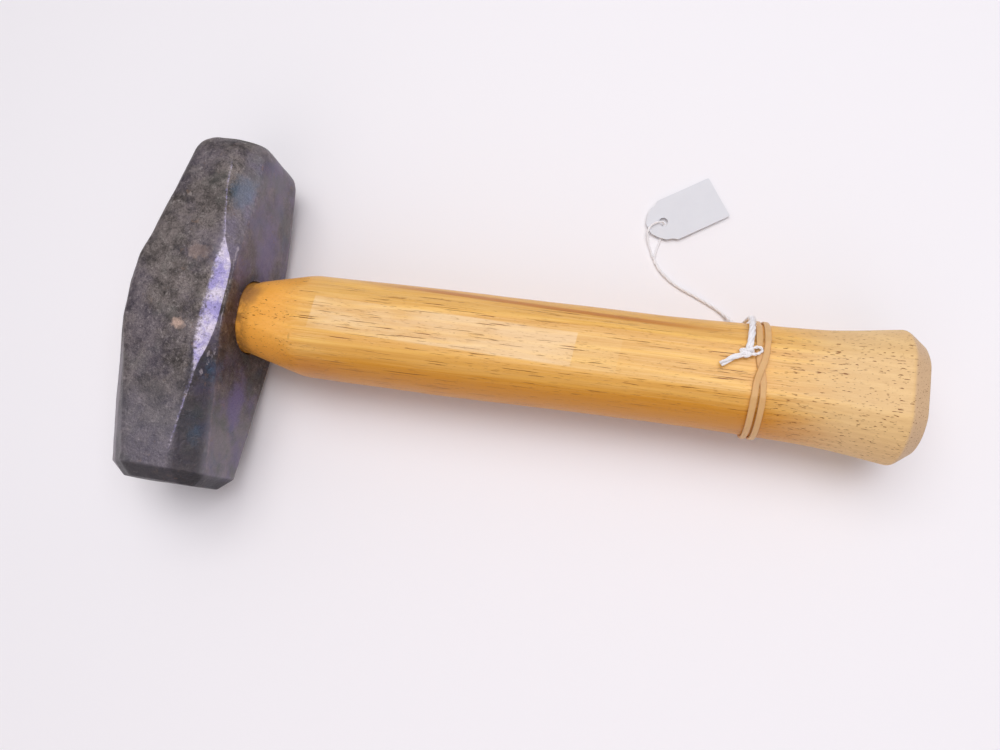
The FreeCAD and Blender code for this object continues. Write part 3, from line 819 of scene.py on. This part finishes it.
def wedge_cutters():
    """The kerf for the wooden wedge, and the two slots that the steel wedges open across it."""
    start = HANDLE_LOW[0]
    cutters = []
    for (length, thick, thin), offset, half_span, along_y in (
        (KERF, 0.0, 20.0, False),
        (STEEL_WEDGE, STEEL_WEDGE_OFFSET, STEEL_WEDGE_HALF_WIDTH, True),
        (STEEL_WEDGE, -STEEL_WEDGE_OFFSET, STEEL_WEDGE_HALF_WIDTH, True),
    ):
        mouth = thick + (thick - thin) / length  # one millimetre further out than the head
        outline = [(start - 1, -mouth), (start + length, -thin), (start + length, thin), (start - 1, mouth)]
        rings = []
        for span in (-half_span, half_span):
            if along_y:
                rings.append([(x, offset + across / 2, AXIS_HEIGHT + span) for x, across in outline])
            else:
                rings.append([(x, -span, AXIS_HEIGHT + across / 2) for x, across in outline])
        points, faces = skin(rings)
        cutters.append(make_object("slot_cutter", points, faces, None, body=None))
    return cutters


def make_handle(material):
    """One piece of hickory from the tenon's end to the bevelled butt, with the kerf cut for its wedges."""
    end = HANDLE_HIGH[0]
    stations = np.concatenate(
        [
            np.linspace(HANDLE_LOW[0], EYE_MOUTH - 1, 12),
            np.linspace(EYE_MOUTH - 0.5, 48, 46),
            np.linspace(49, 236, 130),
            np.linspace(237, end - 0.4, 32),
        ]
    )
    rings = []
    for reach in stations:
        section = soften(oval(*softened_handle_size(reach), 176), 5)
        drift = HANDLE_DRIFT * np.clip((reach - 22.0) / 20.0, 0.0, 1.0)
        rings.append([(reach, y + drift, z + AXIS_HEIGHT) for y, z in section])
    edge = np.array(rings[-1])
    centre = edge.mean(axis=0)
    for share, reach in ((0.975, 0.14), (0.94, 0.02), (0.88, 0.0), (0.7, 0.0), (0.45, 0.0), (0.2, 0.0)):
        ring = centre + (edge - centre) * share
        ring[:, 0] = end - reach
        rings.append(ring)
    points, faces = skin(rings)
    outside = [index for index, point in enumerate(points) if point[0] > EYE_MOUTH + 2]
    worked = [points[index] for index in outside]
    for size, amount, seed in HANDLE_WARPS:
        worked = warp(worked, size, amount, seed)
    for index, point in zip(outside, worked):
        points[index] = point
    handle = make_object("hickory_handle", points, faces, material)
    for cutter in wedge_cutters():
        cut(handle, cutter)
    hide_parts("handle")


# ---- rubber band


def band_centre(turn, side):
    """The middle of the band at one turn round the handle: on one side of its crossing or on the other."""
    reach = BAND_REACH - side * BAND_SPREAD * math.tanh((turn - math.pi / 2) / 0.27)
    section = oval(*(softened_handle_size(reach) + BAND_HALF_THICKNESS + 0.12), 360)
    angles = np.unwrap(np.arctan2(section[:, 1], section[:, 0]))
    distances = np.linalg.norm(section, axis=1)
    distance = np.interp(turn, angles, distances, period=2 * math.pi)
    lift = 1.0 if side > 0 else 0.05
    distance += lift * math.exp(-(((turn - math.pi / 2) / 0.24) ** 2))
    side_y, side_z = distance * math.cos(turn), distance * math.sin(turn)
    return np.array([reach, HANDLE_DRIFT + side_y, AXIS_HEIGHT + side_z])


def make_rubber_band(material):
    """One band wound twice round the handle. Its two turns cross once, on the upper flat."""
    turns = np.linspace(-math.pi / 2, 3 * math.pi / 2, 260, endpoint=False)
    centres = np.array([band_centre(turn, side) for side in (1, -1) for turn in turns])
    count = len(centres)
    rings = []
    for index, centre in enumerate(centres):
        along = unit(centres[(index + 1) % count] - centres[index - 1])
        outward = unit(centre - np.array([centre[0], HANDLE_DRIFT, AXIS_HEIGHT]))
        across = np.cross(along, outward)
        outward = np.cross(across, along)
        twist = 0.10 * math.sin(index * 0.11) + 0.06 * math.sin(index * 0.31 + 1.0)
        width = BAND_HALF_WIDTH * (1 + 0.07 * math.sin(index * 0.052 + 0.8))
        ring = []
        for angle in np.linspace(0, 2 * math.pi, 20, endpoint=False):
            wide = math.copysign(abs(math.cos(angle)) ** 0.45, math.cos(angle)) * width
            thick = math.copysign(abs(math.sin(angle)) ** 0.45, math.sin(angle)) * BAND_HALF_THICKNESS
            ring.append(centre + across * wide + outward * (thick + twist * wide * 0.5))
        rings.append(ring)
    points, faces = skin(rings, closed=True)
    band = make_object("tan_rubber_band", points, faces, material, sharp=math.radians(60))
    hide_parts("rubber_band")


# ---- string


def follow(name, route, spacing=0.22):
    """Evenly spaced points in millimetres along the smooth line of a route, read from its own spline."""
    data = bpy.data.curves.new(name, "CURVE")
    data.dimensions = "3D"
    data.resolution_u = 24
    spline = data.splines.new("NURBS")
    spline.points.add(len(route) - 1)
    for point, place in zip(spline.points, route):
        point.co = (*(Vector(place) * MM), 1.0)
    spline.order_u = 3
    spline.use_endpoint_u = True
    holder = bpy.data.objects.new(name, data)
    mesh = bpy.data.meshes.new_from_object(holder)
    line = np.array([vertex.co[:] for vertex in mesh.vertices]) / MM
    bpy.data.objects.remove(holder)
    bpy.data.curves.remove(data)
    bpy.data.meshes.remove(mesh)
    marks = distances_along(line)
    return sampled(line, marks, np.linspace(0, marks[-1], int(marks[-1] / spacing) + 2))


def crossing_axes(line):
    """Two axes across a line at each of its points, carried along it without turning about it."""
    ahead = np.gradient(line, axis=0)
    ahead /= np.linalg.norm(ahead, axis=1)[:, None]
    start = UP if abs(ahead[0] @ UP) < 0.9 else np.array([1.0, 0.0, 0.0])
    first = []
    for direction in ahead:
        start = unit(start - direction * (start @ direction))
        first.append(start)
    first = np.array(first)
    return first, np.cross(ahead, first)


def tube(line, radii, sides=8):
    """Points and faces of a round tube along a line, with one radius for each of its points."""
    first, second = crossing_axes(line)
    rings = []
    for point, one, other, radius in zip(line, first, second, radii):
        turns = np.linspace(0, 2 * math.pi, sides, endpoint=False)
        rings.append([point + radius * (one * math.cos(turn) + other * math.sin(turn)) for turn in turns])
    return skin(rings)


def twist(line, offsets, pitch, start):
    """A line wound round another one at these distances from it."""
    first, second = crossing_axes(line)
    turns = (start + distances_along(line) / pitch * 2 * math.pi)[:, None]
    return line + offsets[:, None] * (first * np.cos(turns) + second * np.sin(turns))


def join_parts(parts):
    """One set of points and faces from several."""
    points = []
    faces = []
    for more_points, more_faces in parts:
        start = len(points)
        points += list(more_points)
        faces += [tuple(index + start for index in face) for face in more_faces]
    return points, faces


def above_table(points):
    """Points with none of them under the table's surface."""
    return [np.array([x, y, max(z, TABLE_CLEARANCE)]) for x, y, z in points]


def plied(line, plies, radii, offsets, pitch):
    """Points and faces of plies twisted round a line."""
    starts = [2 * math.pi * number / plies for number in range(plies)]
    return join_parts([tube(twist(line, offsets, pitch, start), radii) for start in starts])


def make_string(material):
    """Three-ply white string, plump near its knot, thinner where it lies on the table."""
    line = follow("string_line", STRING_ROUTE)
    share = np.linspace(0, 1, len(line))
    plump = np.exp(-((share / 0.20) ** 2))
    growth = PLUMP_GROWTH * plump
    points, faces = plied(line, 3, PLY_RADIUS + growth, PLY_OFFSET + growth, PLY_PITCH)
    points = above_table(warp(points, 3.0, 0.16, 6))
    string = make_object("twisted_string", points, faces, material, sharp=math.radians(80))
    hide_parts("tag_string")
    return string, line


def make_loop(material):
    """The single strand that goes over the tag's tip and down its hole."""
    line = follow("loop_line", LOOP_ROUTE)
    points, faces = tube(line, np.full(len(line), LOOP_RADIUS))
    loop = make_object("loop_strand", above_table(warp(points, 2.0, 0.05, 7)), faces, material)
    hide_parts("string_loop")
    return loop, line


def make_tail(material):
    """The string's cut end: its plies part and fray on the handle's flat."""
    line = follow("tail_line", [(191.4, 3.7, 41.6), *TAIL_ROUTE])
    share = np.linspace(0, 1, len(line))
    parts = [plied(line, 3, 0.52 - 0.14 * share, 0.38 + 0.16 * share, 16.0)]
    for number in range(TAIL_FIBRES):
        reach = 0.75 + 0.5 * noise.noise((number * 1.7, 3.1, 0.4))
        loose = twist(line, 0.15 + reach * share**1.6, 16.0, FIBRE_TURN * number)
        loose[:, 2] = np.maximum(loose[:, 2], FLAT_HEIGHT)
        parts.append(tube(loose, 0.10 - 0.05 * share, FIBRE_SIDES))
    points, faces = join_parts(parts)
    tail = make_object("frayed_tail", warp(points, 1.8, 0.12, 8), faces, material)
    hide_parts("string_tail")
    return tail


def make_knot(material, string_line):
    """An overhand knot by the rubber band, its hitch round the band, and fluff on the string near it."""
    middle = (KNOT_LOW + KNOT_HIGH) / 2
    turns = np.linspace(0, 2 * math.pi, 160)
    bend = np.stack(
        [
            np.sin(turns) + 2 * np.sin(2 * turns),
            np.cos(turns) - 2 * np.cos(2 * turns),
            -np.sin(3 * turns),
        ],
        axis=1,
    )
    line = middle + np.array([0.2, 0.0, 0.1]) + bend * (0.60, 0.42, 0.55)
    parts = [plied(line, 3, np.full(len(line), 0.38), np.full(len(line), 0.30), 8.0)]
    hitch = follow("hitch_line", HITCH_ROUTE)
    parts.append(plied(hitch, 2, np.full(len(hitch), 0.28), np.full(len(hitch), 0.22), 2.6))
    near_string = string_line[:70]
    share = np.linspace(0, 1, len(near_string))
    for number in range(KNOT_FIBRES):
        spread = 0.45 + 0.45 * noise.noise((number * 1.3, 7.7, 2.1)) + 0.35 * share
        spread = spread * np.minimum(1, 6 * share)
        loose = twist(near_string, 0.30 + spread, 14.0, FIBRE_TURN * number)
        parts.append(tube(loose, 0.075 - 0.03 * share, FIBRE_SIDES))
    points, faces = join_parts(parts)
    knot = make_object("tied_knot", warp(points, 1.8, 0.10, 9), faces, material)
    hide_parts("string_knot")
    return knot


def make_cords(material):
    """The string, the strand through the tag, the string's cut end and its knot."""
    string, string_line = make_string(material)
    loop, loop_line = make_loop(material)
    tail = make_tail(material)
    knot = make_knot(material, string_line)


# ---- card tag


def tag_edge():
    """The card's outline with eased corners, as many points as there are rays from its hole."""
    other_side = [(along, -across) for along, across in reversed(TAG_SIDE)]
    return eased_outline(TAG_SIDE + other_side, (24, 6, 6, 8, 8, 10, 8, 8, 6, 6, 24, 20), 0.34)


def tag_curl(along, across):
    """How far the card curls up at one place on it."""
    side = np.clip(-across / TAG_HALF_WIDTH, 0.0, 1.0)
    end = np.clip(along / TAG_REACH, 0.0, 1.0)
    return 0.55 * side**2 * (0.4 + 0.6 * end) + 0.35 * end**3


def make_tag(material):
    """A blank card tag, slightly curled, with a punched hole."""
    edge = tag_edge()
    angles = np.arctan2(edge[:, 1], edge[:, 0])
    hole = TAG_HOLE_RADIUS * np.stack([np.cos(angles), np.sin(angles)], axis=1)
    shares = np.linspace(0, 1, 15) ** 1.2
    upper = [hole + (edge - hole) * share for share in shares]
    rings = []
    for layer, order in ((TAG_THICKNESS, upper), (0.0, upper[::-1])):
        for ring in order:
            rings.append([(x, y, layer + tag_curl(x, y)) for x, y in ring])
    points, faces = skin(rings, closed=True)
    turn = np.array([(math.cos(TAG_TURN), -math.sin(TAG_TURN)), (math.sin(TAG_TURN), math.cos(TAG_TURN))])
    placed = []
    for x, y, z in points:
        lifted = z * math.cos(TAG_TILT) - x * math.sin(TAG_TILT) + TAG_HOLE[2]
        flat = turn @ np.array([x * math.cos(TAG_TILT) + z * math.sin(TAG_TILT), y])
        placed.append((TAG_HOLE[0] + flat[0], TAG_HOLE[1] + flat[1], lifted))
    tag = make_object("card_tag", above_table(placed), faces, material, body="tag", sharp=math.radians(35))
    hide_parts("price_tag")


# ---- camera, light and table


def make_camera():
    """The camera stands over the handle and leans a little towards the near side and the head."""
    data = bpy.data.cameras.new("camera")
    data.sensor_width = 36.0
    data.lens = CAMERA_LENS
    camera = new_object("camera", data)
    camera.location = Vector(CAMERA_PLACE) * MM
    camera.rotation_euler = [math.radians(turn) for turn in CAMERA_TURNS]
    bpy.context.scene.camera = camera


def make_light(name, place, target, size, power, colour):
    """One soft square lamp, in metres."""
    data = bpy.data.lights.new(name, "AREA")
    data.size = size
    data.energy = power
    data.color = colour
    lamp = new_object(name, data)
    lamp.location = place
    lamp.rotation_euler = (Vector(target) - Vector(place)).to_track_quat("-Z", "Y").to_euler()
    return lamp


def make_table():
    """A plain pale surface that the hammer lies on."""
    f = Finish("table")
    f.colour = (0.92, 0.905, 0.925, 1.0)
    mesh = bpy.data.meshes.new("table")
    corners = [(-1, -1), (1, -1), (1, 1), (-1, 1)]
    mesh.from_pydata([(x * TABLE_REACH, y * TABLE_REACH, 0) for x, y in corners], [], [(0, 1, 2, 3)])
    mesh.materials.append(f.finish(Roughness=0.7))
    table = new_object("table", mesh)
    table.location.z = -TABLE_GAP


def make_surroundings():
    """A pale room, brighter on the poll's far side, and three soft lamps."""
    world = bpy.data.worlds.new("studio")
    world.use_nodes = True
    nodes = world.node_tree.nodes
    links = world.node_tree.links
    place = nodes.new("ShaderNodeTexCoord")
    lean = nodes.new("ShaderNodeVectorMath")
    lean.operation = "DOT_PRODUCT"
    lean.inputs[1].default_value = (-0.40, 0.50, 0.05)
    links.new(place.outputs["Generated"], lean.inputs[0])
    ramp = nodes.new("ShaderNodeMapRange")
    ramp.interpolation_type = "SMOOTHSTEP"
    for name, value in (("From Min", -0.55), ("From Max", 0.55), ("To Min", 0.13), ("To Max", 0.50)):
        ramp.inputs[name].default_value = value
    links.new(lean.outputs["Value"], ramp.inputs["Value"])
    background = nodes["Background"]
    background.inputs["Color"].default_value = (0.96, 0.94, 1.0, 1.0)
    links.new(ramp.outputs["Result"], background.inputs["Strength"])
    bpy.context.scene.world = world
    make_light("window", (0.0, 0.35, 1.15), (0.12, 0, 0), 0.8, WINDOW_POWER, (1.0, 0.985, 0.975))
    make_light("side", (0.46, 0.12, 0.95), (0.05, 0, 0.04), 0.5, SIDE_POWER, (0.95, 0.94, 1.0))
    fill = make_light("fill", (0.15, -0.95, 0.75), (0.12, 0, 0), 1.3, FILL_POWER, (1.0, 0.90, 0.90))
    fill.visible_glossy = False


make_camera()
make_cords(cotton())
bpy.context.scene.view_settings.view_transform = "Standard"
make_surroundings()
make_table()
make_tag(tag_card())
make_rubber_band(band_rubber())
make_head(forged_steel())
make_handle(hickory())
plain_steel = wedge_steel()
for label, finish_of in (
    ("wooden_wedge", wedge_wood()),
    ("steel_wedge_left", plain_steel),
    ("steel_wedge_right", plain_steel),
):
    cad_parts[label].data.materials.clear()
    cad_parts[label].data.materials.append(finish_of)
